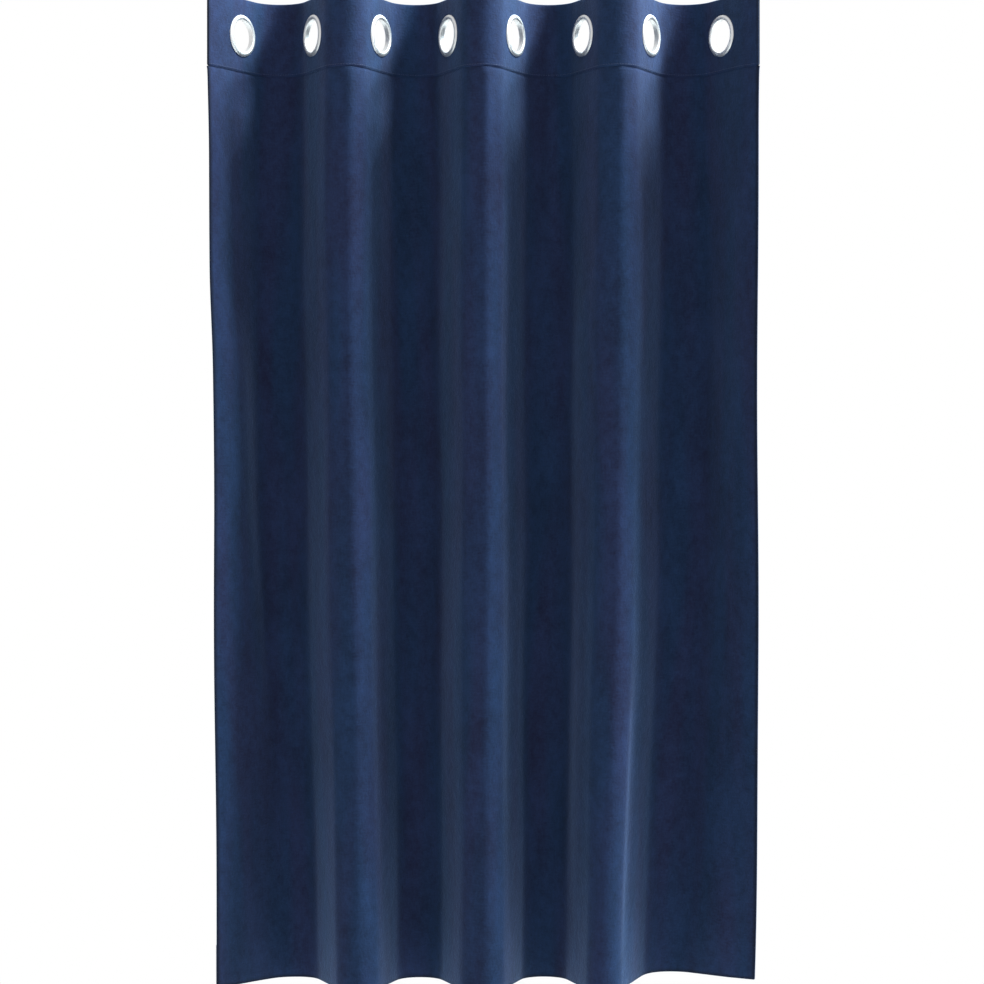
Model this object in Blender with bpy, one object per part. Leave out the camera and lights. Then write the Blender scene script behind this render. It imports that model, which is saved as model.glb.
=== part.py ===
"""Velvet eyelet curtain, hanging empty in eight soft zigzag folds.

Units are metres and degrees, +Z is up, -Y is the room side and +X is to the right seen from the room.
The origin is the middle of the top edge, on the line through the centres of the eyelets' folds.
The cloth is described in plan by its width measured along the cloth ("place"): straight faces that lean back
or forward, joined by round folds. The same faces and folds run from the heading down to the hem and change a
little on the way.
"""
import math

import bmesh
import bpy

# --- Whole curtain -----------------------------------------------------------------------------------------
DROP = 1.370                # top edge to hem
HEADING_DEPTH = 0.103       # top edge to the seam under the eyelets
SEAM_GAP = 0.0003           # between the heading and the panel
PANEL_THICKNESS = 0.002
HEADING_THICKNESS = 0.003   # two layers of velvet on a stiffener
RIGHT_HEM_LIFT = 0.007      # the right end of the hem hangs this much higher

# --- Eyelets -----------------------------------------------------------------------------------------------
EYELETS = 8
FIRST_EYELET = 0.071        # place of the first eyelet, from the left edge
EYELET_PITCH = 0.146
EYELET_DEPTH = 0.052        # top edge to eyelet centre
LAST_MARGIN = 0.075         # last eyelet to the right edge
BORE_RADIUS = 0.0225        # clear hole that a rod goes through
BARREL_WALL = 0.0009
FLANGE_RADIUS = 0.029
FLANGE_RISE = 0.0028        # how far the flange stands off its seat
WASHER_RISE = 0.0020
PART_GAP = 0.0003           # between touching pieces
ROUND_SIDES = 24

CLOTH_WIDTH = FIRST_EYELET + (EYELETS - 1) * EYELET_PITCH + LAST_MARGIN

# --- Folds: one row for each face and one for each fold, from the left edge to the right edge ------------------
# A lean of 0 runs straight along +X; a positive one runs away from the room as it goes right.
# name, lean at the heading, at mid height, at the hem (degrees)
FACES = [
    ("left edge", 52.0, 51.0, 41.0),
    ("face 1", 59.0, 61.0, 51.0),
    ("face 2", -62.0, -63.0, -67.0),
    ("face 3", 63.5, 65.5, 69.5),
    ("face 4", -63.5, -65.5, -67.0),
    ("face 5", 63.5, 65.0, 70.0),
    ("face 6", -63.5, -67.0, -71.0),
    ("face 7", 62.0, 61.0, 66.0),
    ("face 8", -59.0, -58.0, -36.0),
    ("right edge", -45.0, -45.0, -28.0),
]
# name, place at the heading, at mid height, at the hem, then the cloth in the fold at the same three heights
# (millimetres)
FOLDS = [
    ("left edge turn", 24, 28, 32, 32, 36, 40),
    ("valley 1", 144, 141, 141, 88, 92, 84),
    ("crest 1", 290, 290, 294, 70, 72, 74),
    ("valley 2", 436, 436, 434, 88, 90, 80),
    ("crest 2", 582, 582, 581, 70, 72, 76),
    ("valley 3", 728, 728, 730, 88, 90, 84),
    ("crest 3", 874, 872, 877, 70, 70, 62),
    ("valley 4", 1020, 1024, 1026, 88, 92, 84),
    ("right edge turn", 1142, 1140, 1136, 32, 36, 40),
]
# where the left edge hangs: x and y at the heading, at mid height, at the hem (metres)
LEFT_EDGE_X = (-0.3775, -0.3705, -0.3660)
LEFT_EDGE_Y = (-0.0590, -0.0545, -0.0440)

FOLD_STEPS = 6              # flat strips round each main fold
EDGE_STEPS = 2              # and round the slight turn at each side
PANEL_ROWS = 10             # strips from the seam down to the hem

# --- Finishes: colour, roughness, metallic -----------------------------------------------------------------------
NAVY_VELVET = ("navy velvet", (0.022, 0.036, 0.085, 1.0), 0.85, 0.0)
NICKEL = ("polished nickel", (0.78, 0.78, 0.77, 1.0), 0.18, 1.0)


def remove_everything():
    """Empty the scene without closing the file."""
    for thing in list(bpy.data.objects):
        bpy.data.objects.remove(thing, do_unlink=True)


def material(name, colour, roughness, metallic):
    """A Principled material for one finish."""
    made = bpy.data.materials.new(name)
    made.use_nodes = True
    shader = made.node_tree.nodes["Principled BSDF"]
    shader.inputs["Base Color"].default_value = colour
    shader.inputs["Roughness"].default_value = roughness
    shader.inputs["Metallic"].default_value = metallic
    return made


def add_object(name, mesh, finish):
    """Put a mesh in the scene under its node name."""
    made = bpy.data.objects.new(name, mesh)
    if finish:
        mesh.materials.append(finish)
    bpy.context.scene.collection.objects.link(made)
    return made


def at_height(values, down):
    """A smooth value through the heading, middle and hem values; down is 0 at the seam and 1 at the hem."""
    heading, middle, hem = values
    return heading * (2 * down - 1) * (down - 1) + middle * 4 * down * (1 - down) + hem * down * (2 * down - 1)


def fold_spans(down):
    """Where each fold starts and ends along the cloth, in metres."""
    spans = []
    for row in FOLDS:
        place = at_height(row[1:4], down) / 1000
        half = at_height(row[4:7], down) / 2000
        spans.append((place - half, place + half))
    return spans


def runs(down):
    """The cloth as a chain of (start place, end place, lean at the start, lean at the end)."""
    leans = [math.radians(at_height(row[1:4], down)) for row in FACES]
    chain = []
    last_place = 0.0
    for index, (start, end) in enumerate(fold_spans(down)):
        chain.append((last_place, start, leans[index], leans[index]))
        chain.append((start, end, leans[index], leans[index + 1]))
        last_place = end
    chain.append((last_place, CLOTH_WIDTH, leans[-1], leans[-1]))
    return chain


def plan_point(place, down):
    """x, y and lean of the cloth at a place along its width."""
    x = at_height(LEFT_EDGE_X, down)
    y = at_height(LEFT_EDGE_Y, down)
    lean = 0.0
    for start, end, first_lean, last_lean in runs(down):
        covered = min(place, end) - start
        if covered <= 0:
            break
        lean = first_lean + (last_lean - first_lean) * covered / (end - start)
        half_turn = (lean - first_lean) / 2
        reach = covered if abs(half_turn) < 1e-9 else covered * math.sin(half_turn) / half_turn
        x += reach * math.cos(first_lean + half_turn)
        y += reach * math.sin(first_lean + half_turn)
    return x, y, lean


def stations(down):
    """Places across the cloth where the faceted sheet has an edge: both sides, and round every fold."""
    places = [0.0]
    for index, (start, end) in enumerate(fold_spans(down)):
        at_side = index in (0, len(FOLDS) - 1)
        steps = EDGE_STEPS if at_side else FOLD_STEPS
        places += [start + (end - start) * step / steps for step in range(steps + 1)]
    places.append(CLOTH_WIDTH)
    return places


def hem_lift(place):
    """How much higher the hem hangs, easing in from the last crest to the last valley."""
    crest = FOLDS[6][3] / 1000
    valley = FOLDS[7][3] / 1000
    share = min(max((place - crest) / (valley - crest), 0.0), 1.0)
    return RIGHT_HEM_LIFT * share * share * (3 - 2 * share)


def sheet_row(down, drop):
    """One row of points across the cloth, at a depth below the top edge."""
    row = []
    for place in stations(down):
        x, y, _ = plan_point(place, down)
        row.append((x, y, -drop + hem_lift(place) * down))
    return row


def hung_sheet(name, rows, thickness, finish):
    """A sheet of cloth drawn downwards row by row from its top line, then given its thickness."""
    shape = bmesh.new()
    line = [shape.verts.new(point) for point in rows[0]]
    edges = [shape.edges.new(pair) for pair in zip(line, line[1:])]
    for row in rows[1:]:
        drawn = bmesh.ops.extrude_edge_only(shape, edges=edges)["geom"]
        by_start = {}
        for vertex in (item for item in drawn if isinstance(item, bmesh.types.BMVert)):
            parent = next(edge.other_vert(vertex) for edge in vertex.link_edges
                          if edge.other_vert(vertex) in line)
            by_start[parent] = vertex
        line = [by_start[vertex] for vertex in line]
        for vertex, point in zip(line, row):
            vertex.co = point
        edges = [item for item in drawn if isinstance(item, bmesh.types.BMEdge)]
    bmesh.ops.recalc_face_normals(shape, faces=shape.faces)
    mesh = bpy.data.meshes.new(name)
    shape.to_mesh(mesh)
    shape.free()
    mesh.shade_smooth()
    cloth = add_object(name, mesh, finish)
    solid = cloth.modifiers.new("thickness", "SOLIDIFY")
    solid.thickness = thickness
    solid.offset = 0.0
    solid.use_even_offset = True
    return cloth


def build_panel(finish):
    """The velvet from the seam down to the hem."""
    top = HEADING_DEPTH + SEAM_GAP
    rows = []
    for index in range(PANEL_ROWS + 1):
        down = index / PANEL_ROWS
        rows.append(sheet_row(down, top + (DROP - top) * down))
    return hung_sheet("panel", rows, PANEL_THICKNESS, finish)


def eyelet_place(index):
    """Centre and turn of one eyelet, which sits square on its own face of the heading."""
    x, y, lean = plan_point(FIRST_EYELET + index * EYELET_PITCH, 0.0)
    return (x, y, -EYELET_DEPTH), (math.pi / 2, 0.0, lean)


def stand_at(thing, index):
    """Place an object so that its +Z points out of the room side of an eyelet's face."""
    thing.location, thing.rotation_euler = eyelet_place(index)


def build_heading(finish):
    """The stiffened strip along the top, with a hole for each eyelet's barrel."""
    rows = [sheet_row(0.0, 0.0), sheet_row(0.0, HEADING_DEPTH)]
    strip = hung_sheet("heading", rows, HEADING_THICKNESS, finish)
    cutter_shape = bmesh.new()
    bmesh.ops.create_cone(cutter_shape, cap_ends=True, segments=ROUND_SIDES, depth=HEADING_THICKNESS * 4,
                          radius1=BORE_RADIUS + BARREL_WALL + PART_GAP,
                          radius2=BORE_RADIUS + BARREL_WALL + PART_GAP)
    cutter_mesh = bpy.data.meshes.new("hole cutter")
    cutter_shape.to_mesh(cutter_mesh)
    cutter_shape.free()
    for index in range(EYELETS):
        cutter = add_object(f"hole_cutter_{index + 1}", cutter_mesh, None)
        cutter.hide_render = True
        cutter.display_type = "WIRE"
        stand_at(cutter, index)
        cut = strip.modifiers.new(f"hole {index + 1}", "BOOLEAN")
        cut.operation = "DIFFERENCE"
        cut.solver = "EXACT"
        cut.object = cutter
    return strip


def turned_mesh(name, profile, finish):
    """A closed ring: a profile of (radius, height) points turned once round the local Z axis."""
    shape = bmesh.new()
    points = [shape.verts.new((radius, 0.0, height)) for radius, height in profile]
    edges = [shape.edges.new((points[index - 1], points[index])) for index in range(len(points))]
    bmesh.ops.spin(shape, geom=points + edges, cent=(0, 0, 0), axis=(0, 0, 1), angle=math.tau,
                   steps=ROUND_SIDES, use_merge=True)
    bmesh.ops.remove_doubles(shape, verts=shape.verts, dist=1e-6)
    bmesh.ops.recalc_face_normals(shape, faces=shape.faces)
    mesh = bpy.data.meshes.new(name)
    shape.to_mesh(mesh)
    shape.free()
    mesh.shade_smooth()
    mesh.set_sharp_from_angle(angle=math.radians(40))
    mesh.materials.append(finish)
    return mesh


def build_eyelets(finish):
    """Eight two-part eyelets: a flanged barrel from the front, and a washer that locks on it behind."""
    seat = HEADING_THICKNESS / 2 + PART_GAP
    barrel_radius = BORE_RADIUS + BARREL_WALL
    washer_bore = barrel_radius + PART_GAP
    crown = seat + FLANGE_RISE
    back = -seat - WASHER_RISE
    flange = [
        (BORE_RADIUS, back),
        (BORE_RADIUS, crown - 0.0013),
        (BORE_RADIUS + 0.0015, crown),
        (FLANGE_RADIUS - 0.0018, crown),
        (FLANGE_RADIUS, crown - 0.0018),
        (FLANGE_RADIUS, seat),
        (barrel_radius, seat),
        (barrel_radius, back),
    ]
    washer = [
        (washer_bore, -seat),
        (washer_bore, back),
        (FLANGE_RADIUS - 0.0014, back),
        (FLANGE_RADIUS, back + 0.0008),
        (FLANGE_RADIUS, -seat),
    ]
    flange_mesh = turned_mesh("eyelet flange", flange, finish)
    washer_mesh = turned_mesh("eyelet washer", washer, finish)
    for index in range(EYELETS):
        stand_at(add_object(f"eyelet_front_{index + 1}", flange_mesh, None), index)
        stand_at(add_object(f"eyelet_back_{index + 1}", washer_mesh, None), index)


remove_everything()
velvet = material(*NAVY_VELVET)
nickel = material(*NICKEL)
build_panel(velvet)
build_heading(velvet)
build_eyelets(nickel)
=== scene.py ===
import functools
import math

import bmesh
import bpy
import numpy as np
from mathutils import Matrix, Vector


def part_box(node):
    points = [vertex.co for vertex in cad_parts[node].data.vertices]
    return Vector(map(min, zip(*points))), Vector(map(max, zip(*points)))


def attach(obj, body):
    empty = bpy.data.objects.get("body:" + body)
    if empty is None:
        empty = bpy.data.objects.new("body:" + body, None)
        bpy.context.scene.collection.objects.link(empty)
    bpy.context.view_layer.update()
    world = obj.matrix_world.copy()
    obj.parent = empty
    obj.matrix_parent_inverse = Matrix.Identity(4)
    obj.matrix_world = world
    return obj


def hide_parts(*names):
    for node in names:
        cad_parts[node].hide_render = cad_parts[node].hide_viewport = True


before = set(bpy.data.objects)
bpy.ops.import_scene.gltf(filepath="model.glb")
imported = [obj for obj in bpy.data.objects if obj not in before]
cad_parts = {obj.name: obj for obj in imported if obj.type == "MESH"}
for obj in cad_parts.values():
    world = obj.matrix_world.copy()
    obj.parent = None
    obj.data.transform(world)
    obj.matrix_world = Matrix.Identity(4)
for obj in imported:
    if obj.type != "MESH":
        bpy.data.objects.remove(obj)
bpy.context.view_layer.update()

# %% [markdown]
# # A velvet eyelet curtain
# The real thing is one width of navy velvet. It is hemmed at the sides and the foot, and a stiff folded
# band is sewn along its top. Eight metal eyelets are set through the band, and the cloth hangs from them
# in zigzag folds.
#
# The loaded frame already holds the curtain at its true size. Everything here is made around it in metres,
# with +Z up and the room on the -Y side. The finished pieces take the place of the plain solids.

scene = bpy.context.scene
heading_low, heading_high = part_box("heading")
panel_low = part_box("panel")[0]
SEAM_DROP = heading_high.z - heading_low.z
FULL_DROP = heading_high.z - panel_low.z
EYELETS = sum(name.startswith("eyelet_front_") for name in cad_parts)
print(f"{EYELETS} eyelets, seam at {SEAM_DROP:.3f} m, hem at {FULL_DROP:.3f} m below the top edge")

# %% [markdown]
# ## How the cloth hangs
# Seen from above, a hanging curtain is a line of constant length: flat faces that lean away from or
# towards the room, joined by round folds. So the cloth is described by its width along the line, called
# its place, and by the lean of the line there. Adding up the leans gives the plan. A simulation could find
# folds like these, but not these ones, so they are set at three heights and eased smoothly from
# one to the next.

# %% The faces and folds, from the left edge to the right edge
CLOTH_WIDTH = 1.168
FIRST_EYELET = 0.071
EYELET_PITCH = 0.146
# name, lean in degrees at the heading, at mid height and at the hem
FACES = [
    ("left edge", 52.0, 51.0, 41.0),
    ("face 1", 59.0, 61.0, 51.0),
    ("face 2", -62.0, -63.0, -67.0),
    ("face 3", 63.5, 65.5, 69.5),
    ("face 4", -63.5, -65.5, -67.0),
    ("face 5", 63.5, 65.0, 70.0),
    ("face 6", -63.5, -67.0, -71.0),
    ("face 7", 62.0, 61.0, 66.0),
    ("face 8", -59.0, -58.0, -36.0),
    ("right edge", -45.0, -45.0, -28.0),
]
# name, place in millimetres at the three heights, then the cloth taken up by the fold at the same heights
FOLDS = [
    ("left edge turn", 24, 28, 32, 32, 36, 40),
    ("valley 1", 144, 141, 141, 88, 92, 84),
    ("crest 1", 290, 290, 294, 70, 72, 74),
    ("valley 2", 436, 436, 434, 88, 90, 80),
    ("crest 2", 582, 582, 581, 70, 72, 76),
    ("valley 3", 728, 728, 730, 88, 90, 84),
    ("crest 3", 874, 872, 877, 70, 70, 62),
    ("valley 4", 1020, 1024, 1026, 88, 92, 84),
    ("right edge turn", 1142, 1140, 1136, 32, 36, 40),
]
# where the left edge hangs at the three heights
LEFT_EDGE_X = (-0.3775, -0.3705, -0.3660)
LEFT_EDGE_Y = (-0.0590, -0.0545, -0.0440)
PLAN_STEP = 0.0005
PLAN_DIGITS = 4             # heights closer than this many decimals of down share one plan
SOFTENING = 0.012           # the leans are averaged over this much cloth, so no fold starts or ends at once


def at_height(values, down):
    """A smooth value through the heading, middle and hem values; down is 0 at the seam and 1 at the hem."""
    heading, middle, hem = values
    near_middle = 4 * down * (1 - down)
    return heading * (2 * down - 1) * (down - 1) + middle * near_middle + hem * down * (2 * down - 1)


def fold_spans(down):
    """Where each fold starts and ends along the cloth, in metres."""
    spans = []
    for row in FOLDS:
        place = at_height(row[1:4], down) / 1000
        half = at_height(row[4:7], down) / 2000
        spans.append((place - half, place + half))
    return spans


@functools.lru_cache(maxsize=None)
def plan(down):
    """The curtain's line seen from above at one height: places, x, y and leans, half a millimetre apart."""
    places = np.arange(0.0, CLOTH_WIDTH + PLAN_STEP / 2, PLAN_STEP)
    leans = [math.radians(at_height(row[1:4], down)) for row in FACES]
    ends = np.ravel(fold_spans(down))
    lean = np.interp(places, ends, np.repeat(leans, 2)[1:-1])
    reach = round(SOFTENING / PLAN_STEP)
    kernel = np.hanning(reach + 2)[1:-1]
    lean = np.convolve(np.pad(lean, reach // 2, mode="edge"), kernel / kernel.sum(), mode="same")
    lean = lean[reach // 2:reach // 2 + len(places)]
    middle = (lean[1:] + lean[:-1]) / 2
    x = at_height(LEFT_EDGE_X, down) + np.concatenate([[0], np.cumsum(np.cos(middle)) * PLAN_STEP])
    y = at_height(LEFT_EDGE_Y, down) + np.concatenate([[0], np.cumsum(np.sin(middle)) * PLAN_STEP])
    return places, x, y, lean


top_line = plan(0.0)
print(f"hung width {top_line[1][-1] - top_line[1][0]:.3f} m from {CLOTH_WIDTH} m of cloth")

# %% [markdown]
# Real folds are never ruled lines. Each row below is a soft ridge or trough pressed into the cloth along a
# line of points, as a hand or a packing crease would leave it. Its two sides may be wide or tight, so a
# crease can be sharp on one side and melt away on the other. A positive rise comes towards the room.

# %% Soft ridges and troughs
# name, half width on the left and on the right, rise, then the points of the line: place and drop (in metres)
RELIEF = [
    ("left face ridge", 0.050, 0.034, 0.0075,
     [(0.040, 0.38), (0.058, 0.72), (0.088, 0.98), (0.122, 1.25), (0.136, 1.48)]),
    ("left edge curl", 0.012, 0.022, 0.0022, [(0.014, 0.10), (0.018, 0.70), (0.020, 1.30)]),
    ("crest 1 ridge", 0.007, 0.011, 0.0024,
     [(0.294, 0.00), (0.296, 0.30), (0.294, 0.62), (0.297, 0.90), (0.295, 1.40)]),
    ("crest 2 ridge", 0.006, 0.011, 0.0026,
     [(0.586, 0.00), (0.587, 0.35), (0.589, 0.75), (0.586, 1.05), (0.587, 1.40)]),
    ("crest 3 ridge", 0.007, 0.011, 0.0020, [(0.878, 0.00), (0.880, 0.40), (0.881, 0.95)]),
    ("crest 3 fold", 0.010, 0.026, 0.0026, [(0.878, 0.66), (0.878, 1.00), (0.873, 1.18), (0.866, 1.48)]),
    ("crest 3 hollow", 0.016, 0.016, -0.0022, [(0.916, 0.90), (0.918, 1.15), (0.914, 1.40)]),
    ("face 3 hollow", 0.020, 0.020, -0.0014, [(0.346, 0.30), (0.352, 0.80), (0.345, 1.25)]),
    ("face 5 hollow", 0.018, 0.020, -0.0014, [(0.640, 0.20), (0.634, 0.70), (0.642, 1.20)]),
    ("face 6 swell", 0.022, 0.022, 0.0014, [(0.806, 0.30), (0.800, 0.90), (0.808, 1.30)]),
    ("right face swell", 0.040, 0.040, 0.0035, [(1.080, 0.80), (1.090, 1.10), (1.100, 1.40)]),
]
# a crushed mark across the last crest: the places of its ends, its drop, half width and rise
CRUSH = (0.862, 0.902, 1.121, 0.0030, -0.0007)
CRUSH_FADE = 0.01
LINE_FADE = 0.14            # a ridge fades in and out over this much of its line
# the whole cloth also waves very slightly from top to bottom
SWAY_RISE = 0.0010
SWAY_LENGTH = 0.52
SWAY_SHIFT = 17.0
SEAM_HOLD = 0.12            # the stiff band keeps the wave away over this drop below the seam


def smooth_share(value):
    """Eases a value that runs from 0 to 1, and holds it at both ends."""
    held = np.clip(value, 0.0, 1.0)
    return held * held * (3 - 2 * held)


def relief(place, drop):
    """How far the cloth stands towards the room from its ruled folds, along one row of places."""
    below_seam = smooth_share((drop - SEAM_DROP) / SEAM_HOLD)
    rise = below_seam * SWAY_RISE * np.sin(math.tau * drop / SWAY_LENGTH + SWAY_SHIFT * place)
    for _, left, right, height, points in RELIEF:
        places, drops = zip(*points)
        if drops[0] < drop < drops[-1]:
            away = place - np.interp(drop, drops, places)
            width = np.where(away < 0, left, right)
            ends = smooth_share((drop - drops[0]) / LINE_FADE) * smooth_share((drops[-1] - drop) / LINE_FADE)
            rise = rise + height * ends * np.exp(-(away / width) ** 2)
    start, end, mark_drop, mark_width, mark_rise = CRUSH
    inside = smooth_share((place - start) / CRUSH_FADE) * smooth_share((end - place) / CRUSH_FADE)
    return rise + mark_rise * inside * math.exp(-((drop - mark_drop) / mark_width) ** 2)


print(f"{len(RELIEF)} ridges and troughs, and one crushed mark")

# %% [markdown]
# One function then gives the point of the cloth at any place and drop. It reads the plan at that height,
# steps off it along the cloth's own normal for the relief and for the layer, and lets the hem rise a
# little at the right.

# %% The point of the cloth at any place and drop
RIGHT_HEM_LIFT = 0.007
HEM_PLACES = {row[0]: row[3] / 1000 for row in FOLDS}


def hem_lift(place):
    """How much higher the hem hangs at the right, easing in from the last crest to the last valley."""
    crest, valley = HEM_PLACES["crest 3"], HEM_PLACES["valley 4"]
    return RIGHT_HEM_LIFT * smooth_share((place - crest) / (valley - crest))


def hung_points(places, drop, behind, aside=0.0):
    """The points of one row of cloth: behind moves them away from the room, aside carries on past an edge."""
    down = min(max((drop - SEAM_DROP) / (FULL_DROP - SEAM_DROP), 0.0), 1.0)
    line, x, y, lean = plan(round(down, PLAN_DIGITS))
    at = np.clip(places, 0.0, CLOTH_WIDTH)
    lean_at = np.interp(at, line, lean)
    back = behind - (relief(at, drop) if down > 0 else 0.0)
    across, away = np.cos(lean_at), np.sin(lean_at)
    points_x = np.interp(at, line, x) - away * back + across * aside
    points_y = np.interp(at, line, y) + across * back + away * aside
    points_z = -drop + hem_lift(at) * down
    return np.stack([points_x, points_y, np.broadcast_to(points_z, points_x.shape)], axis=1)


hem_ends = hung_points(np.array([0.0, CLOTH_WIDTH]), FULL_DROP, 0.0)
print(f"the hem's ends hang {-hem_ends[0, 2]:.3f} m and {-hem_ends[1, 2]:.3f} m below the top edge")

# %% [markdown]
# ## Cutting the cloth
# Every sheet starts as a flat grid, like cloth on the cutting table, made with create_grid. Its columns are
# moved closer together where the folds will be. The flat size is kept as the UV map, in metres, so that the
# velvet's pattern follows the cloth wherever it goes. Then each vertex is hung in its place.

# %% A flat grid of cloth with its own flat sizes as UVs
FACE_COLUMNS = 6
FOLD_COLUMNS = 14


def column_places():
    """Places for the grid's columns: a few across each face and many round each fold."""
    places = [0.0]
    for start, end in fold_spans(0.0):
        places += list(np.linspace(places[-1], start, FACE_COLUMNS + 1)[1:])
        places += list(np.linspace(start, end, FOLD_COLUMNS + 1)[1:])
    places += list(np.linspace(places[-1], CLOTH_WIDTH, FACE_COLUMNS + 1)[1:])
    return np.array(places)


def cut_cloth(across, down):
    """A flat bmesh grid whose columns and rows lie at these flat sizes, and a table of its vertices."""
    cloth = bmesh.new()
    last_column, last_row = len(across) - 1, len(down) - 1
    bmesh.ops.create_grid(cloth, x_segments=last_column, y_segments=last_row, size=0.5, calc_uvs=False)
    cloth.verts.ensure_lookup_table()
    table = np.empty((len(down), len(across)), dtype=object)
    for vertex in cloth.verts:
        column = round((vertex.co.x + 0.5) * last_column)
        row = round((0.5 - vertex.co.y) * last_row)
        table[row, column] = vertex
        vertex.co = (across[column], -down[row], 0.0)
    flat = cloth.loops.layers.uv.new("flat")
    for face in cloth.faces:
        for corner in face.loops:
            corner[flat].uv = corner.vert.co.xy
    return cloth, table


def finish_mesh(name, shape):
    """Turns a bmesh into an object at the origin, shaded smooth."""
    mesh = bpy.data.meshes.new(name)
    shape.to_mesh(mesh)
    shape.free()
    mesh.shade_smooth()
    made = bpy.data.objects.new(name, mesh)
    scene.collection.objects.link(made)
    return made


columns = column_places()
print(f"{len(columns)} columns across the cloth")

# %% [markdown]
# ## The panel, with its hems
# The sides of the cloth are turned back once and so is the foot. A turned hem is the same cloth going
# round a tiny half circle and back up behind itself, so that is how it is modelled: the grid runs past the
# finished edge, and what runs past is laid behind. The corners are cut away, as a maker does to save bulk.

# %% Hang the panel
LAYER_STEP = 0.0018         # from one layer of cloth to the next
TURN_RADIUS = LAYER_STEP / 2
TURN_STEPS = 6
TURN_LENGTH = math.pi * TURN_RADIUS
SIDE_HEM = 0.025
SIDE_HEM_COLUMNS = 4
FOOT_HEM = 0.060
FOOT_HEM_ROWS = 8
HEM_CLEAR = 0.001           # the foot hem lies over the side hem until this far past the side hem's edge,
HEM_SLOPE = 0.008           # and comes down to the panel's back over this much more
CLOTH_THICKNESS = 0.0012
FACE_SETBACK = 0.0004       # brings the pile's tips level with the frame's front
TUCK = 0.006                # the panel's top goes this far up inside the band
TUCK_ROWS = np.array([TUCK, 0.004, 0.001])
TUCK_SLOPE = 0.003          # it reaches the band's middle this far above the seam
SEAM_DIP = 0.0011           # the stitching pulls both cloths in at the seam
SEAM_ROLL = 0.004
SEAM_ROWS = 8
PANEL_ROWS = 118


def past_edge(distance):
    """For cloth this far past a finished edge: how far it sticks out, and how far behind it lies."""
    turn = np.clip(distance / TURN_RADIUS, 0.0, math.pi)
    out = TURN_RADIUS * np.sin(turn) - np.maximum(distance - TURN_LENGTH, 0.0)
    return out, TURN_RADIUS * (1 - np.cos(turn))


turn_places = np.linspace(0, TURN_LENGTH, TURN_STEPS + 1)[1:]
side_places = np.concatenate([turn_places, np.linspace(TURN_LENGTH, SIDE_HEM, SIDE_HEM_COLUMNS + 1)[1:]])
foot_places = np.concatenate([turn_places, np.linspace(TURN_LENGTH, FOOT_HEM, FOOT_HEM_ROWS + 1)[1:]])
foot_drop = FULL_DROP - TURN_RADIUS - CLOTH_THICKNESS / 2
panel_across = np.concatenate([-side_places[::-1], columns, CLOTH_WIDTH + side_places])
panel_down = np.concatenate([SEAM_DROP - TUCK_ROWS,
                             np.linspace(SEAM_DROP, SEAM_DROP + SEAM_ROLL, SEAM_ROWS + 1),
                             np.linspace(SEAM_DROP + SEAM_ROLL, foot_drop, PANEL_ROWS)[1:],
                             foot_drop + foot_places])

panel_cloth, panel_table = cut_cloth(panel_across, panel_down)
past_left, past_right = panel_across < 0, panel_across > CLOTH_WIDTH
side_out, side_back = past_edge(np.maximum(-panel_across, panel_across - CLOTH_WIDTH).clip(0))
from_side = np.minimum(np.abs(panel_across), np.abs(CLOTH_WIDTH - panel_across))
over_side_hem = 1 - smooth_share((from_side - SIDE_HEM - HEM_CLEAR) / HEM_SLOPE)
hung_places = np.where(past_left, -np.minimum(side_out, 0.0), panel_across)
hung_places = np.where(past_right, CLOTH_WIDTH + np.minimum(side_out, 0.0), hung_places)
aside = np.where(past_left, -1.0, 1.0) * side_out.clip(0) * (side_back > 0)
for row, along in enumerate(panel_down):
    foot_out, foot_back = past_edge(max(along - foot_drop, 0.0))
    drop = min(along, foot_drop) + foot_out
    back = side_back + foot_back * (1 + over_side_hem) - FACE_SETBACK
    back = back + SEAM_DIP * np.exp(-((drop - SEAM_DROP) / SEAM_ROLL) ** 2)
    back = back * (1 - smooth_share((SEAM_DROP - drop) / TUCK_SLOPE))
    for vertex, point in zip(panel_table[row], hung_points(hung_places, drop, back, aside)):
        vertex.co = point
corner_rows = (panel_down < SEAM_DROP) | (panel_down > foot_drop)
corners = panel_table[np.ix_(corner_rows, past_left | past_right)].ravel().tolist()
bmesh.ops.delete(panel_cloth, geom=corners, context="VERTS")
panel = finish_mesh("velvet_panel", panel_cloth)
print(f"panel: {len(panel.data.polygons)} faces before it has its thickness")

# %% [markdown]
# ## The heading band
# The band is a strip of the same velvet folded over at the top edge, with the panel's top held between its
# two layers. Modelling both layers keeps light from showing through the seam, and gives the top edge its
# soft roll.

# %% Fold and hang the band
BAND_BACK = 0.00115         # each layer's middle lies this far in front of or behind the band's middle
BAND_THICKNESS = 0.0011
BAND_OVERHANG = 0.0015      # the band is a little wider than the panel
OVERHANG_FADE = 0.03
BAND_ROWS = 26
EDGE_ROLL = 0.0035          # its lower edges are pulled in by the stitching over this height
EDGE_ROWS = 6
EDGE_LIFT = 0.0006          # and drawn up by this much
TOP_ROLL_ROWS = 8
roll_length = math.pi * BAND_BACK
face_length = SEAM_DROP - BAND_BACK - BAND_THICKNESS / 2
face_rows = np.concatenate([np.linspace(0, face_length - EDGE_ROLL, BAND_ROWS),
                            np.linspace(face_length - EDGE_ROLL, face_length, EDGE_ROWS + 1)[1:]])
strip_rows = np.concatenate([face_length - face_rows[::-1],
                             face_length + np.linspace(0, roll_length, TOP_ROLL_ROWS + 1)[1:],
                             face_length + roll_length + face_rows[1:]])
band_cloth, band_table = cut_cloth(columns, strip_rows)
to_edge = np.minimum(columns, CLOTH_WIDTH - columns)
widen = np.sign(columns - CLOTH_WIDTH / 2) * BAND_OVERHANG * (1 - smooth_share(to_edge / OVERHANG_FADE))
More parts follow.
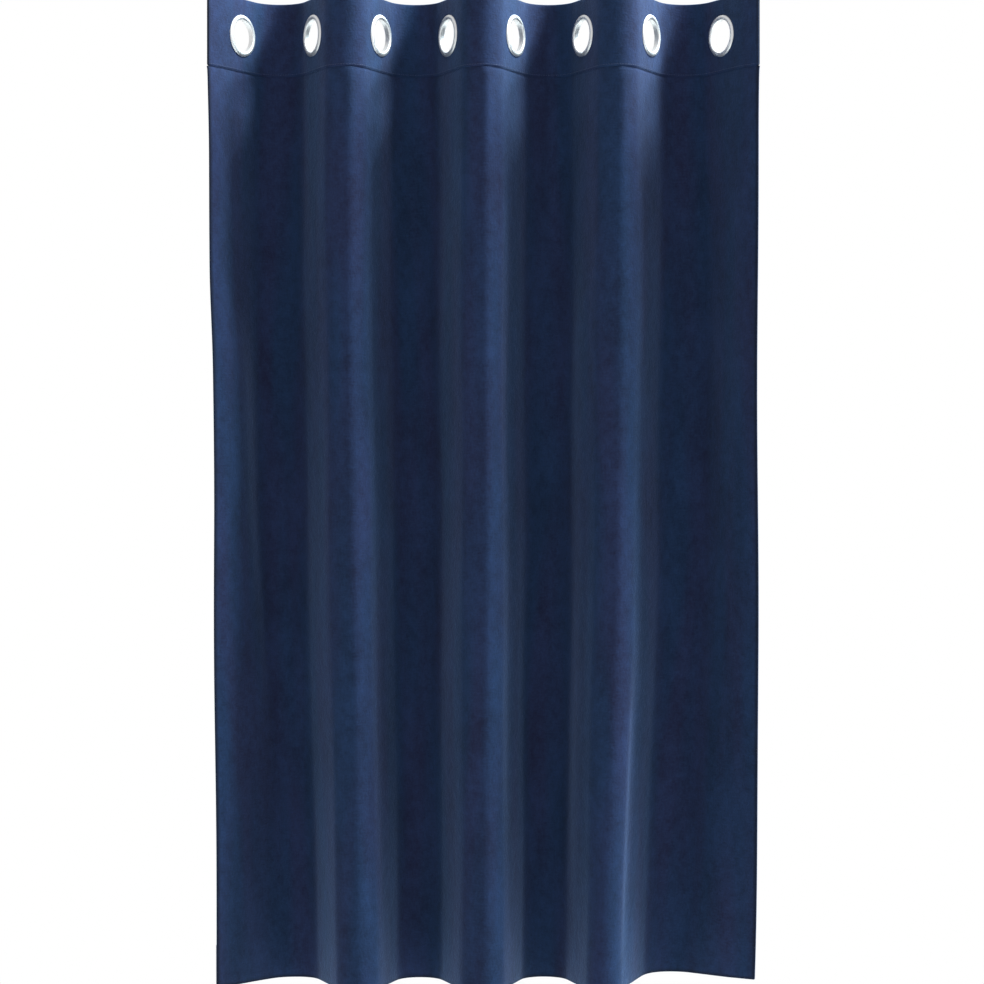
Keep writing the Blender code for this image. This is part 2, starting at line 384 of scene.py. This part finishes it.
for row, along in enumerate(strip_rows):
    past_back = along - face_length
    turn = min(max(past_back / BAND_BACK, 0.0), math.pi)
    straight = max(-past_back, past_back - roll_length, 0.0)
    drop = BAND_THICKNESS / 2 + BAND_BACK * (1 - math.sin(turn)) + straight
    back = BAND_BACK * math.cos(turn)
    edge = smooth_share(1 - (SEAM_DROP - drop) / EDGE_ROLL)
    back -= math.copysign(SEAM_DIP * edge ** 2, back)
    for vertex, point in zip(band_table[row], hung_points(columns, drop - EDGE_LIFT * edge, back, widen)):
        vertex.co = point
band = finish_mesh("velvet_band", band_cloth)
print(f"band: {len(band.data.polygons)} faces before it has its thickness")

# %% [markdown]
# ## Thickness and the reverse
# Velvet has a pile side and a plain knitted reverse. Solidify gives each sheet its thickness, and its
# material offset puts the reverse on the inner side, so a turned hem shows pile again, as a real one does.

# %% Give the sheets their thickness, and punch the band
BORE_RADIUS = 0.0225
HOLE_RADIUS = 0.0237
PUNCH_DEPTH = 0.012
CREASE_ANGLE = math.radians(60)


def thicken(cloth, thickness):
    """Adds the thickness as a modifier, with the reverse as the second material."""
    solid = cloth.modifiers.new("thickness", "SOLIDIFY")
    solid.thickness = thickness
    solid.offset = 0.0
    solid.use_even_offset = True
    solid.material_offset = 1
    solid.material_offset_rim = 0


def bake_modifiers(thing):
    """Replaces an object's mesh with what its modifiers make of it."""
    graph = bpy.context.evaluated_depsgraph_get()
    made = bpy.data.meshes.new_from_object(thing.evaluated_get(graph), depsgraph=graph)
    thing.modifiers.clear()
    thing.data = made


def eyelet_matrix(index):
    """An eyelet's place and turn: its +Z points out of the room side of its face."""
    line, x, y, lean = plan(0.0)
    place = FIRST_EYELET + index * EYELET_PITCH
    low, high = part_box(f"eyelet_front_{index + 1}")
    centre = Vector((np.interp(place, line, x), np.interp(place, line, y), (low.z + high.z) / 2))
    turn = Matrix.Rotation(np.interp(place, line, lean), 4, "Z") @ Matrix.Rotation(math.pi / 2, 4, "X")
    return Matrix.Translation(centre) @ turn


for sheet_object, thickness in ((panel, CLOTH_THICKNESS), (band, BAND_THICKNESS)):
    sheet_object.data.materials.append(None)
    sheet_object.data.materials.append(None)
    thicken(sheet_object, thickness)

punch_shape = bmesh.new()
for index in range(EYELETS):
    bmesh.ops.create_cone(punch_shape, cap_ends=True, segments=64, radius1=HOLE_RADIUS, radius2=HOLE_RADIUS,
                          depth=PUNCH_DEPTH, matrix=eyelet_matrix(index))
punch = finish_mesh("punch", punch_shape)
hole = band.modifiers.new("holes", "BOOLEAN")
hole.operation = "DIFFERENCE"
hole.solver = "EXACT"
hole.object = punch
bake_modifiers(band)
bpy.data.objects.remove(punch, do_unlink=True)
bake_modifiers(panel)
for sheet_object in (panel, band):
    sheet_object.data.set_sharp_from_angle(angle=CREASE_ANGLE)
    print(f"{sheet_object.name}: {len(sheet_object.data.polygons)} faces")

# %% [markdown]
# ## The eyelets
# A curtain eyelet is pressed from thin steel in two parts and plated. The room side is a domed flange with
# a barrel, and the barrel's end is rolled over a washer behind. Both are round, so each is a profile of
# radius and height, drawn once and spun about the bore.

# %% Profiles for the flange and the washer
SPIN_STEPS = 80
FLANGE_RADIUS = 0.029
# heights from the middle of the band, towards the room
SEAT = 0.00175              # the two halves clamp the band from this far in front and behind
CROWN = 0.0046              # the top of the flange's dome
BACK = 0.0038               # the rolled end stands this far behind
LIP_WIDTH = 0.0026          # from the bore to the dome's top
LIP_DROP = 0.0022
FLANGE_EDGE = 0.0002
WALL = 0.0008
ROLL = 0.0012               # the radius of the barrel's rolled end
WASHER_GAP = 0.0008         # the washer's inner edge is this far outside the hole's
WASHER_FOOT = 0.0001        # and its flat back is this far short of the rolled end
WASHER_BEND = 0.0010
WASHER_DISH = 0.0009
WASHER_ROUND = 0.0013
RING_SHARP = math.radians(50)


def arc(centre_r, centre_h, reach_r, reach_h, start, end, steps):
    """Points on part of an ellipse in the profile, with the angles in degrees."""
    angles = np.radians(np.linspace(start, end, steps + 1))
    return [(centre_r + reach_r * math.cos(a), centre_h + reach_h * math.sin(a)) for a in angles]


dome_top = BORE_RADIUS + LIP_WIDTH
dome_edge = SEAT + FLANGE_EDGE
barrel_outside = BORE_RADIUS + WALL
flange_profile = (
    arc(dome_top, CROWN - LIP_DROP, LIP_WIDTH, LIP_DROP, 180, 90, 8)
    + arc(dome_top, dome_edge, FLANGE_RADIUS - dome_top, CROWN - dome_edge, 90, 0, 9)[1:]
    + [(FLANGE_RADIUS - FLANGE_EDGE, SEAT), (barrel_outside, SEAT), (barrel_outside, ROLL - BACK)]
    + arc(BORE_RADIUS + ROLL, ROLL - BACK, ROLL, ROLL, 360, 180, 10)
)
washer_bore = HOLE_RADIUS + WASHER_GAP
washer_back = WASHER_FOOT - BACK
washer_profile = (
    [(washer_bore, -SEAT), (washer_bore, washer_back + WASHER_DISH)]
    + arc(washer_bore + WASHER_BEND, washer_back + WASHER_DISH, WASHER_BEND, WASHER_DISH, 180, 270, 4)[1:]
    + arc(FLANGE_RADIUS - WASHER_ROUND, washer_back + WASHER_ROUND, WASHER_ROUND, WASHER_ROUND, 270, 360, 5)
    + [(FLANGE_RADIUS, -SEAT)]
)


def spun_piece(name, profile, matrix):
    """A closed ring spun from a closed profile about local Z, then set in its place."""
    shape = bmesh.new()
    points = [shape.verts.new((radius, 0.0, height)) for radius, height in profile]
    edges = [shape.edges.new((points[step - 1], points[step])) for step in range(len(points))]
    bmesh.ops.spin(shape, geom=points + edges, cent=(0, 0, 0), axis=(0, 0, 1), dvec=(0, 0, 0), angle=math.tau,
                   steps=SPIN_STEPS, use_merge=True, use_duplicate=False)
    bmesh.ops.remove_doubles(shape, verts=shape.verts, dist=1e-6)
    bmesh.ops.recalc_face_normals(shape, faces=shape.faces)
    bmesh.ops.transform(shape, matrix=matrix, verts=shape.verts)
    made = finish_mesh(name, shape)
    made.data.set_sharp_from_angle(angle=RING_SHARP)
    return made


flanges = [spun_piece(f"eyelet_flange_{i + 1}", flange_profile, eyelet_matrix(i)) for i in range(EYELETS)]
washers = [spun_piece(f"eyelet_washer_{i + 1}", washer_profile, eyelet_matrix(i)) for i in range(EYELETS)]
print(f"{len(flanges)} flanges of {len(flanges[0].data.polygons)} faces, {len(washers)} washers")

# %% [markdown]
# ## The stitching
# A lockstitch is a row of short threads that dip into the cloth at both ends. One stitch is a small
# stretched ball, and a loop lays copies of it along a row, each turned to the cloth there. They are joined
# into one mesh for each row, because more than a thousand separate objects would only slow the work.

# %% Lay the rows of stitches
STITCH_LENGTH = 0.0032
STITCH_PITCH = 0.0037
THREAD_RADIUS = 0.00026
IN_FROM_SEAM = 0.0035       # the band's rows run this far above its lower edges
IN_FROM_END = 0.002
IN_FROM_HEM_EDGE = 0.004    # the foot's row runs this far below the hem's cut edge,
IN_FROM_SIDE_EDGE = 0.003   # and the side rows this far in from theirs
FOOT_ROW_GAP = 0.010        # between a side hem's edge and the end of the foot's row
SIDE_ROW_GAP = 0.002        # between the foot hem's edge and the end of a side row

one_stitch = bmesh.new()
bmesh.ops.create_uvsphere(one_stitch, u_segments=6, v_segments=5, radius=1.0)
stitch_mesh = bpy.data.meshes.new("one_stitch")
one_stitch.to_mesh(stitch_mesh)
one_stitch.free()


def lay_stitches(name, start_points, end_points):
    """One joined mesh of stitches, each running from a start point to an end point."""
    row = bmesh.new()
    for start, end in zip(start_points, end_points):
        run = Vector(end) - Vector(start)
        turn = run.to_track_quat("Z", "Y").to_matrix().to_4x4()
        size = Matrix.Diagonal((THREAD_RADIUS, THREAD_RADIUS, run.length / 2, 1.0))
        laid = stitch_mesh.copy()
        laid.transform(Matrix.Translation((Vector(start) + Vector(end)) / 2) @ turn @ size)
        row.from_mesh(laid)
        bpy.data.meshes.remove(laid)
    return finish_mesh(name, row)


def across_row(name, drop, behind, start, end):
    """Stitches across the cloth at one drop."""
    begins = np.arange(start, end - STITCH_LENGTH, STITCH_PITCH)
    firsts = hung_points(begins, drop, behind)
    return lay_stitches(name, firsts, hung_points(begins + STITCH_LENGTH, drop, behind))


def down_row(name, place, behind, start, end):
    """Stitches down the cloth at one place."""
    begins = np.arange(start, end - STITCH_LENGTH, STITCH_PITCH)
    spot = np.array([place])
    firsts = [hung_points(spot, drop, behind)[0] for drop in begins]
    lasts = [hung_points(spot, drop + STITCH_LENGTH, behind)[0] for drop in begins]
    return lay_stitches(name, firsts, lasts)


band_surface = BAND_BACK + BAND_THICKNESS / 2
band_drop = SEAM_DROP - IN_FROM_SEAM
band_run = (IN_FROM_END, CLOTH_WIDTH - IN_FROM_END)
hem_surface = LAYER_STEP + CLOTH_THICKNESS / 2 - FACE_SETBACK
foot_hem_top = FULL_DROP - FOOT_HEM
foot_run = (SIDE_HEM + FOOT_ROW_GAP, CLOTH_WIDTH - SIDE_HEM - FOOT_ROW_GAP)
side_run = (SEAM_DROP + SEAM_ROLL, foot_hem_top - SIDE_ROW_GAP)
side_row = SIDE_HEM - IN_FROM_SIDE_EDGE
stitches = [
    across_row("stitches_band_front", band_drop, -band_surface, *band_run),
    across_row("stitches_band_back", band_drop, band_surface, *band_run),
    across_row("stitches_foot", foot_hem_top + IN_FROM_HEM_EDGE, hem_surface, *foot_run),
    down_row("stitches_left", side_row, hem_surface, *side_run),
    down_row("stitches_right", CLOTH_WIDTH - side_row, hem_surface, *side_run),
]
print("stitch faces:", [len(row.data.polygons) for row in stitches])

# %% [markdown]
# ## Building materials
# Colours are written as sRGB hex, the way a dye card gives them, and one function turns them linear. Another
# adds a node with its settings and links, so that each material below reads as a list of what it is made of.

# %% Material helpers


def hex_colour(code):
    """A linear colour from an sRGB hex code such as 1f2b47."""
    parts = [int(code[i:i + 2], 16) / 255 for i in (0, 2, 4)]
    linear = [part / 12.92 if part <= 0.04045 else ((part + 0.055) / 1.055) ** 2.4 for part in parts]
    return (*linear, 1.0)


def add_node(material, kind, settings=None, values=None, links=None):
    """Adds a node: settings are its own options, values its free inputs, links what feeds the others."""
    node = material.node_tree.nodes.new(kind)
    for name, value in (settings or {}).items():
        setattr(node, name, value)
    for name, value in (values or {}).items():
        node.inputs[name].default_value = value
    for name, socket in (links or {}).items():
        material.node_tree.links.new(socket, node.inputs[name])
    return node


def new_material(name, constants):
    """An empty node material with a Principled shader whose constant sockets are set."""
    made = bpy.data.materials.new(name)
    made.use_nodes = True
    shader = made.node_tree.nodes["Principled BSDF"]
    for socket, value in constants.items():
        shader.inputs[socket].default_value = value
    return made, shader


def link_finish(material, shader, outputs):
    """Links the outputs of a finish's last nodes to the shader's sockets."""
    for socket, output in outputs.items():
        material.node_tree.links.new(output, shader.inputs[socket])


print("a navy in linear light:", [round(part, 4) for part in hex_colour("1f2b47")])

# %% [markdown]
# ## Polyester velvet
# The pile is about a millimetre long and stands up, so it takes light in when it is seen straight on and
# glows where it is seen edge on. The sheen layer does that. Hands brush the pile into patches that look
# lighter or darker, and these are slow noise in the cloth's own flat sizes. The single tufts are 0.3 mm
# apart, too fine to show here, so the grain is drawn as flecks of 2 to 9 mm. Along a folded edge the colour
# is painted darker, a painted shade for the shadow of the turned edge.

# %% Velvet pile
VELVET_DARK = hex_colour("0d162c")
VELVET_LIGHT = hex_colour("1c2e4f")
VELVET_PLUM = hex_colour("1d1d39")
VELVET_TEAL = hex_colour("0c2640")
EDGE_SHADE_WIDTH = 0.0045       # painted shade: the colour is darkened this far in from a folded edge
EDGE_SHADE_TONE = 0.35         # and falls to this share at the edge itself, for the turned edge's shadow
TINT_PATCH = (0.045, 0.40)  # the dye drifts from teal to plum over patches of this size
TINT_SHARE = 0.35
NAP_HEIGHT = 0.0030
# size of one mark across and down the cloth in metres, and its share of the whole
PILE_MARKS = {
    "brushed patches": (0.050, 0.110, 0.26),
    "brush strokes": (0.013, 0.018, 0.24),
    "flecks down": (0.0030, 0.0080, 0.18),
    "flecks across": (0.0085, 0.0024, 0.16),
    "tufts": (0.0025, 0.0025, 0.16),
}

velvet, velvet_shader = new_material("polyester velvet, navy, brushed pile", {
    "Roughness": 0.9, "Specular IOR Level": 0.15, "Sheen Weight": 0.8, "Sheen Roughness": 0.34,
    "Sheen Tint": hex_colour("85a0ce")})
flat_uv = add_node(velvet, "ShaderNodeTexCoord").outputs["UV"]


def marks(material, vector, across, down, detail=2.0):
    """Soft noise whose marks have this size across and down the cloth."""
    scaled = add_node(material, "ShaderNodeMapping", values={"Scale": (1 / across, 1 / down, 1.0)},
                      links={"Vector": vector})
    return add_node(material, "ShaderNodeTexNoise", values={"Scale": 1.0, "Detail": detail, "Roughness": 0.6},
                    links={"Vector": scaled.outputs["Vector"]}).outputs["Fac"]


layers = None
for across_size, down_size, share in PILE_MARKS.values():
    noise = marks(velvet, flat_uv, across_size, down_size)
    step = add_node(velvet, "ShaderNodeMath", {"operation": "MULTIPLY_ADD"}, {1: share, 2: 0.0}, {0: noise})
    if layers:
        velvet.node_tree.links.new(layers, step.inputs[2])
    layers = step.outputs["Value"]
pile = add_node(velvet, "ShaderNodeMapRange", values={"From Min": 0.40, "From Max": 0.60},
                links={"Value": layers})
dye = add_node(velvet, "ShaderNodeMix", {"data_type": "RGBA"}, {"A": VELVET_DARK, "B": VELVET_LIGHT},
               {"Factor": pile.outputs["Result"]})
warmth = add_node(velvet, "ShaderNodeMapRange", values={"From Min": 0.38, "From Max": 0.62},
                  links={"Value": marks(velvet, flat_uv, *TINT_PATCH, detail=1.0)})
tint = add_node(velvet, "ShaderNodeMix", {"data_type": "RGBA"}, {"A": VELVET_TEAL, "B": VELVET_PLUM},
                {"Factor": warmth.outputs["Result"]})
dyed = add_node(velvet, "ShaderNodeMix", {"data_type": "RGBA"}, {"Factor": TINT_SHARE},
                {"A": dye.outputs["Result"], "B": tint.outputs["Result"]})
along_cloth = add_node(velvet, "ShaderNodeSeparateXYZ", links={"Vector": flat_uv})
# Painted shade: the dye darkens towards the folded sides and foot, standing in for the turned edges' shadow.
to_side = add_node(velvet, "ShaderNodeMath", {"operation": "PINGPONG"}, {1: CLOTH_WIDTH / 2},
                   {0: along_cloth.outputs["X"]})
above_foot = add_node(velvet, "ShaderNodeMath", {"operation": "ADD"}, {1: foot_drop},
                      {0: along_cloth.outputs["Y"]})
to_foot = add_node(velvet, "ShaderNodeMath", {"operation": "ABSOLUTE"},
                   links={0: above_foot.outputs["Value"]})
to_fold = add_node(velvet, "ShaderNodeMath", {"operation": "MINIMUM"},
                   links={0: to_side.outputs["Value"], 1: to_foot.outputs["Value"]})
painted_edge_shade = add_node(velvet, "ShaderNodeMapRange", values={"From Max": EDGE_SHADE_WIDTH, "To Min": EDGE_SHADE_TONE},
                   links={"Value": to_fold.outputs["Value"]})
edge_shaded_dye = add_node(velvet, "ShaderNodeMix", {"data_type": "RGBA", "blend_type": "MULTIPLY"}, {"Factor": 1.0},
                 {"A": dyed.outputs["Result"], "B": painted_edge_shade.outputs["Result"]})
nap_bump = add_node(velvet, "ShaderNodeBump", values={"Strength": 0.6, "Distance": NAP_HEIGHT},
                    links={"Height": layers})
link_finish(velvet, velvet_shader, {
    "Base Color": edge_shaded_dye.outputs["Result"], "Normal": nap_bump.outputs["Normal"]})
print("made", velvet.name)

# %% [markdown]
# ## The knitted reverse, the thread and the plating
# The reverse is a plain warp knit of fine upright wales. Real ones are under a millimetre apart, and these
# are drawn 2 mm apart so that they show. The thread is the same navy, a touch smoother. The eyelets are
# nickel plate on steel. Their polish has dulled to a satin, so they mirror the room only softly.

# %% Reverse, thread and nickel
WALE_SCALE = 160.0          # a wave's bands are 0.314 / scale apart, which is 2 mm here
WORN_PATCHES = 60.0         # this and the next three count a noise's marks in each metre
THREAD_TONES = 900.0
SMUDGES = 140.0
POLISH_MARKS = 900.0
WALE_HEIGHT = 0.0004
POLISH_HEIGHT = 0.0001
reverse, reverse_shader = new_material("warp-knitted polyester reverse, navy", {
    "Roughness": 0.95, "Specular IOR Level": 0.2, "Sheen Weight": 0.08, "Sheen Roughness": 0.5})
reverse_uv = add_node(reverse, "ShaderNodeTexCoord").outputs["UV"]
wales = add_node(reverse, "ShaderNodeTexWave", {"wave_type": "BANDS", "bands_direction": "X"},
                 {"Scale": WALE_SCALE, "Distortion": 1.5, "Detail": 2.0, "Detail Scale": 3.0},
                 {"Vector": reverse_uv})
wear = add_node(reverse, "ShaderNodeTexNoise", values={"Scale": WORN_PATCHES, "Detail": 4.0},
                links={"Vector": reverse_uv})
worn_wales = add_node(reverse, "ShaderNodeMath", {"operation": "MULTIPLY"},
                      links={0: wales.outputs["Fac"], 1: wear.outputs["Fac"]})
knit = add_node(reverse, "ShaderNodeMix", {"data_type": "RGBA"},
                {"A": hex_colour("1c2742"), "B": hex_colour("303d5e")},
                {"Factor": worn_wales.outputs["Value"]})
knit_bump = add_node(reverse, "ShaderNodeBump", values={"Strength": 0.4, "Distance": WALE_HEIGHT},
                     links={"Height": wales.outputs["Fac"]})
link_finish(reverse, reverse_shader, {
    "Base Color": knit.outputs["Result"], "Normal": knit_bump.outputs["Normal"]})

thread, thread_shader = new_material("polyester sewing thread, navy", {
    "Roughness": 0.6, "Specular IOR Level": 0.4, "Sheen Weight": 0.1})
thread_place = add_node(thread, "ShaderNodeTexCoord").outputs["Object"]
thread_tone = add_node(thread, "ShaderNodeTexNoise", values={"Scale": THREAD_TONES, "Detail": 1.0},
                       links={"Vector": thread_place})
thread_dye = add_node(thread, "ShaderNodeMix", {"data_type": "RGBA"},
                      {"A": hex_colour("161f38"), "B": hex_colour("26345a")},
                      {"Factor": thread_tone.outputs["Fac"]})
link_finish(thread, thread_shader, {"Base Color": thread_dye.outputs["Result"]})

nickel, nickel_shader = new_material("nickel plate on steel, worn to a satin", {"Metallic": 1.0})
nickel_place = add_node(nickel, "ShaderNodeTexCoord").outputs["Object"]
smudge = add_node(nickel, "ShaderNodeTexNoise", values={"Scale": SMUDGES, "Detail": 5.0, "Roughness": 0.6},
                  links={"Vector": nickel_place})
nickel_rough = add_node(nickel, "ShaderNodeMapRange", values={"To Min": 0.42, "To Max": 0.54},
                        links={"Value": smudge.outputs["Fac"]})
nickel_tone = add_node(nickel, "ShaderNodeMix", {"data_type": "RGBA"},
                       {"A": hex_colour("cbccce"), "B": hex_colour("dfdfde")},
                       {"Factor": smudge.outputs["Fac"]})
nickel_marks = add_node(nickel, "ShaderNodeTexNoise", values={"Scale": POLISH_MARKS, "Detail": 2.0},
                        links={"Vector": nickel_place})
nickel_bump = add_node(nickel, "ShaderNodeBump", values={"Strength": 0.05, "Distance": POLISH_HEIGHT},
                       links={"Height": nickel_marks.outputs["Fac"]})
link_finish(nickel, nickel_shader, {
    "Roughness": nickel_rough.outputs["Result"], "Base Color": nickel_tone.outputs["Result"],
    "Normal": nickel_bump.outputs["Normal"]})
print("made", reverse.name, thread.name, nickel.name)

# %% [markdown]
# ## Putting the finishes on and fixing the pieces to the frame
# The curtain has one body, so every piece rides on it. The two sheets stand for the plain solids, and the
# sizes they were cut at are printed.

# %% Finishes, riding and the cloth's flat sizes
for sheet_object in (panel, band):
    sheet_object.data.materials[0] = velvet
    sheet_object.data.materials[1] = reverse
for row in stitches:
    row.data.materials.append(thread)
for ring in flanges + washers:
    ring.data.materials.append(nickel)
for piece in [panel, band, *stitches, *flanges, *washers]:
    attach(piece, "root")

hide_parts("panel")
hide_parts("heading")
for index in range(EYELETS):
    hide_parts(f"eyelet_front_{index + 1}")
    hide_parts(f"eyelet_back_{index + 1}")

panel_cut = (CLOTH_WIDTH + 2 * SIDE_HEM, FULL_DROP - SEAM_DROP + TUCK + FOOT_HEM)
band_cut = (CLOTH_WIDTH + 2 * BAND_OVERHANG, float(strip_rows[-1]))
for name, (cut_width, cut_height) in (("panel", panel_cut), ("band", band_cut)):
    print(f"{name} cut {cut_width:.3f} x {cut_height:.3f} m")

# %% [markdown]
# ## Camera
# A long lens from well back looks straight at the curtain from half its height, so the near folds hang
# only a little lower than the far ones at the hem.

# %% Camera
LENS = 95.85
SENSOR_WIDTH = 36.0
CAMERA_PLACE = (0.011, -3.651, -0.6874)
camera_data = bpy.data.cameras.new("camera")
camera_data.lens = LENS
camera_data.sensor_width = SENSOR_WIDTH
camera = bpy.data.objects.new("camera", camera_data)
camera.location = CAMERA_PLACE
camera.rotation_euler = (math.pi / 2, 0.0, 0.0)
scene.collection.objects.link(camera)
scene.camera = camera
print(f"a {LENS:.0f} mm lens, {-CAMERA_PLACE[1]:.2f} m in front of the curtain")

# %% [markdown]
# ## Light and floor
# White all round gives the folds their soft shade. Two soft lights stand far to the right, nearly in line
# with the curtain's face. The high one comes over the top edge, so it lights a slanting patch of each
# fold, down to where the next fold shades it. The low one stands a little behind and only catches the rims
# of the folds.

# %% World, lights and floor
# name, degrees round from straight in front towards the right, degrees above level, size across in metres,
# power in watts, colour, distance in metres from the point it faces, and that point's height
LIGHTS = [
    ("side_light", 97.0, 22.0, 2.0, 210.0, (0.74, 0.89, 1.0), 3.5, -0.7),
    ("heading_light", 88.5, 50.0, 1.5, 1150.0, (0.80, 0.95, 1.0), 5.0, 0.0),
]
FLOOR_DROP = 3.0
FLOOR_RADIUS = 3.4
scene.view_settings.view_transform = "Standard"
world = bpy.data.worlds.new("studio")
scene.world = world
world.use_nodes = True
world.node_tree.nodes["Background"].inputs["Color"].default_value = (1.0, 1.0, 1.0, 1.0)
world.node_tree.nodes["Background"].inputs["Strength"].default_value = 1.0


def light_direction(right, up):
    """The way towards a light, from its two angles in radians."""
    return Vector((math.sin(right) * math.cos(up), -math.cos(right) * math.cos(up), math.sin(up)))


for name, right, up, size, power, colour, distance, height in LIGHTS:
    light_data = bpy.data.lights.new(name, "AREA")
    light_data.size = size
    light_data.energy = power
    light_data.color = colour
    out = light_direction(math.radians(right), math.radians(up))
    light = bpy.data.objects.new(name, light_data)
    light.location = Vector((0.0, 0.0, height)) + out * distance
    light.rotation_euler = (-out).to_track_quat("-Z", "Y").to_euler()
    scene.collection.objects.link(light)

floor_shape = bmesh.new()
bmesh.ops.create_circle(floor_shape, cap_ends=True, segments=96, radius=FLOOR_RADIUS)
bmesh.ops.translate(floor_shape, vec=(0.0, 0.0, -FLOOR_DROP), verts=floor_shape.verts)
floor = finish_mesh("floor", floor_shape)
floor_paint = new_material("matt pale floor", {"Roughness": 0.9, "Base Color": hex_colour("e6e5e2")})[0]
floor.data.materials.append(floor_paint)
print(f"{len(LIGHTS)} lights, and a floor {FLOOR_DROP} m below the top edge")
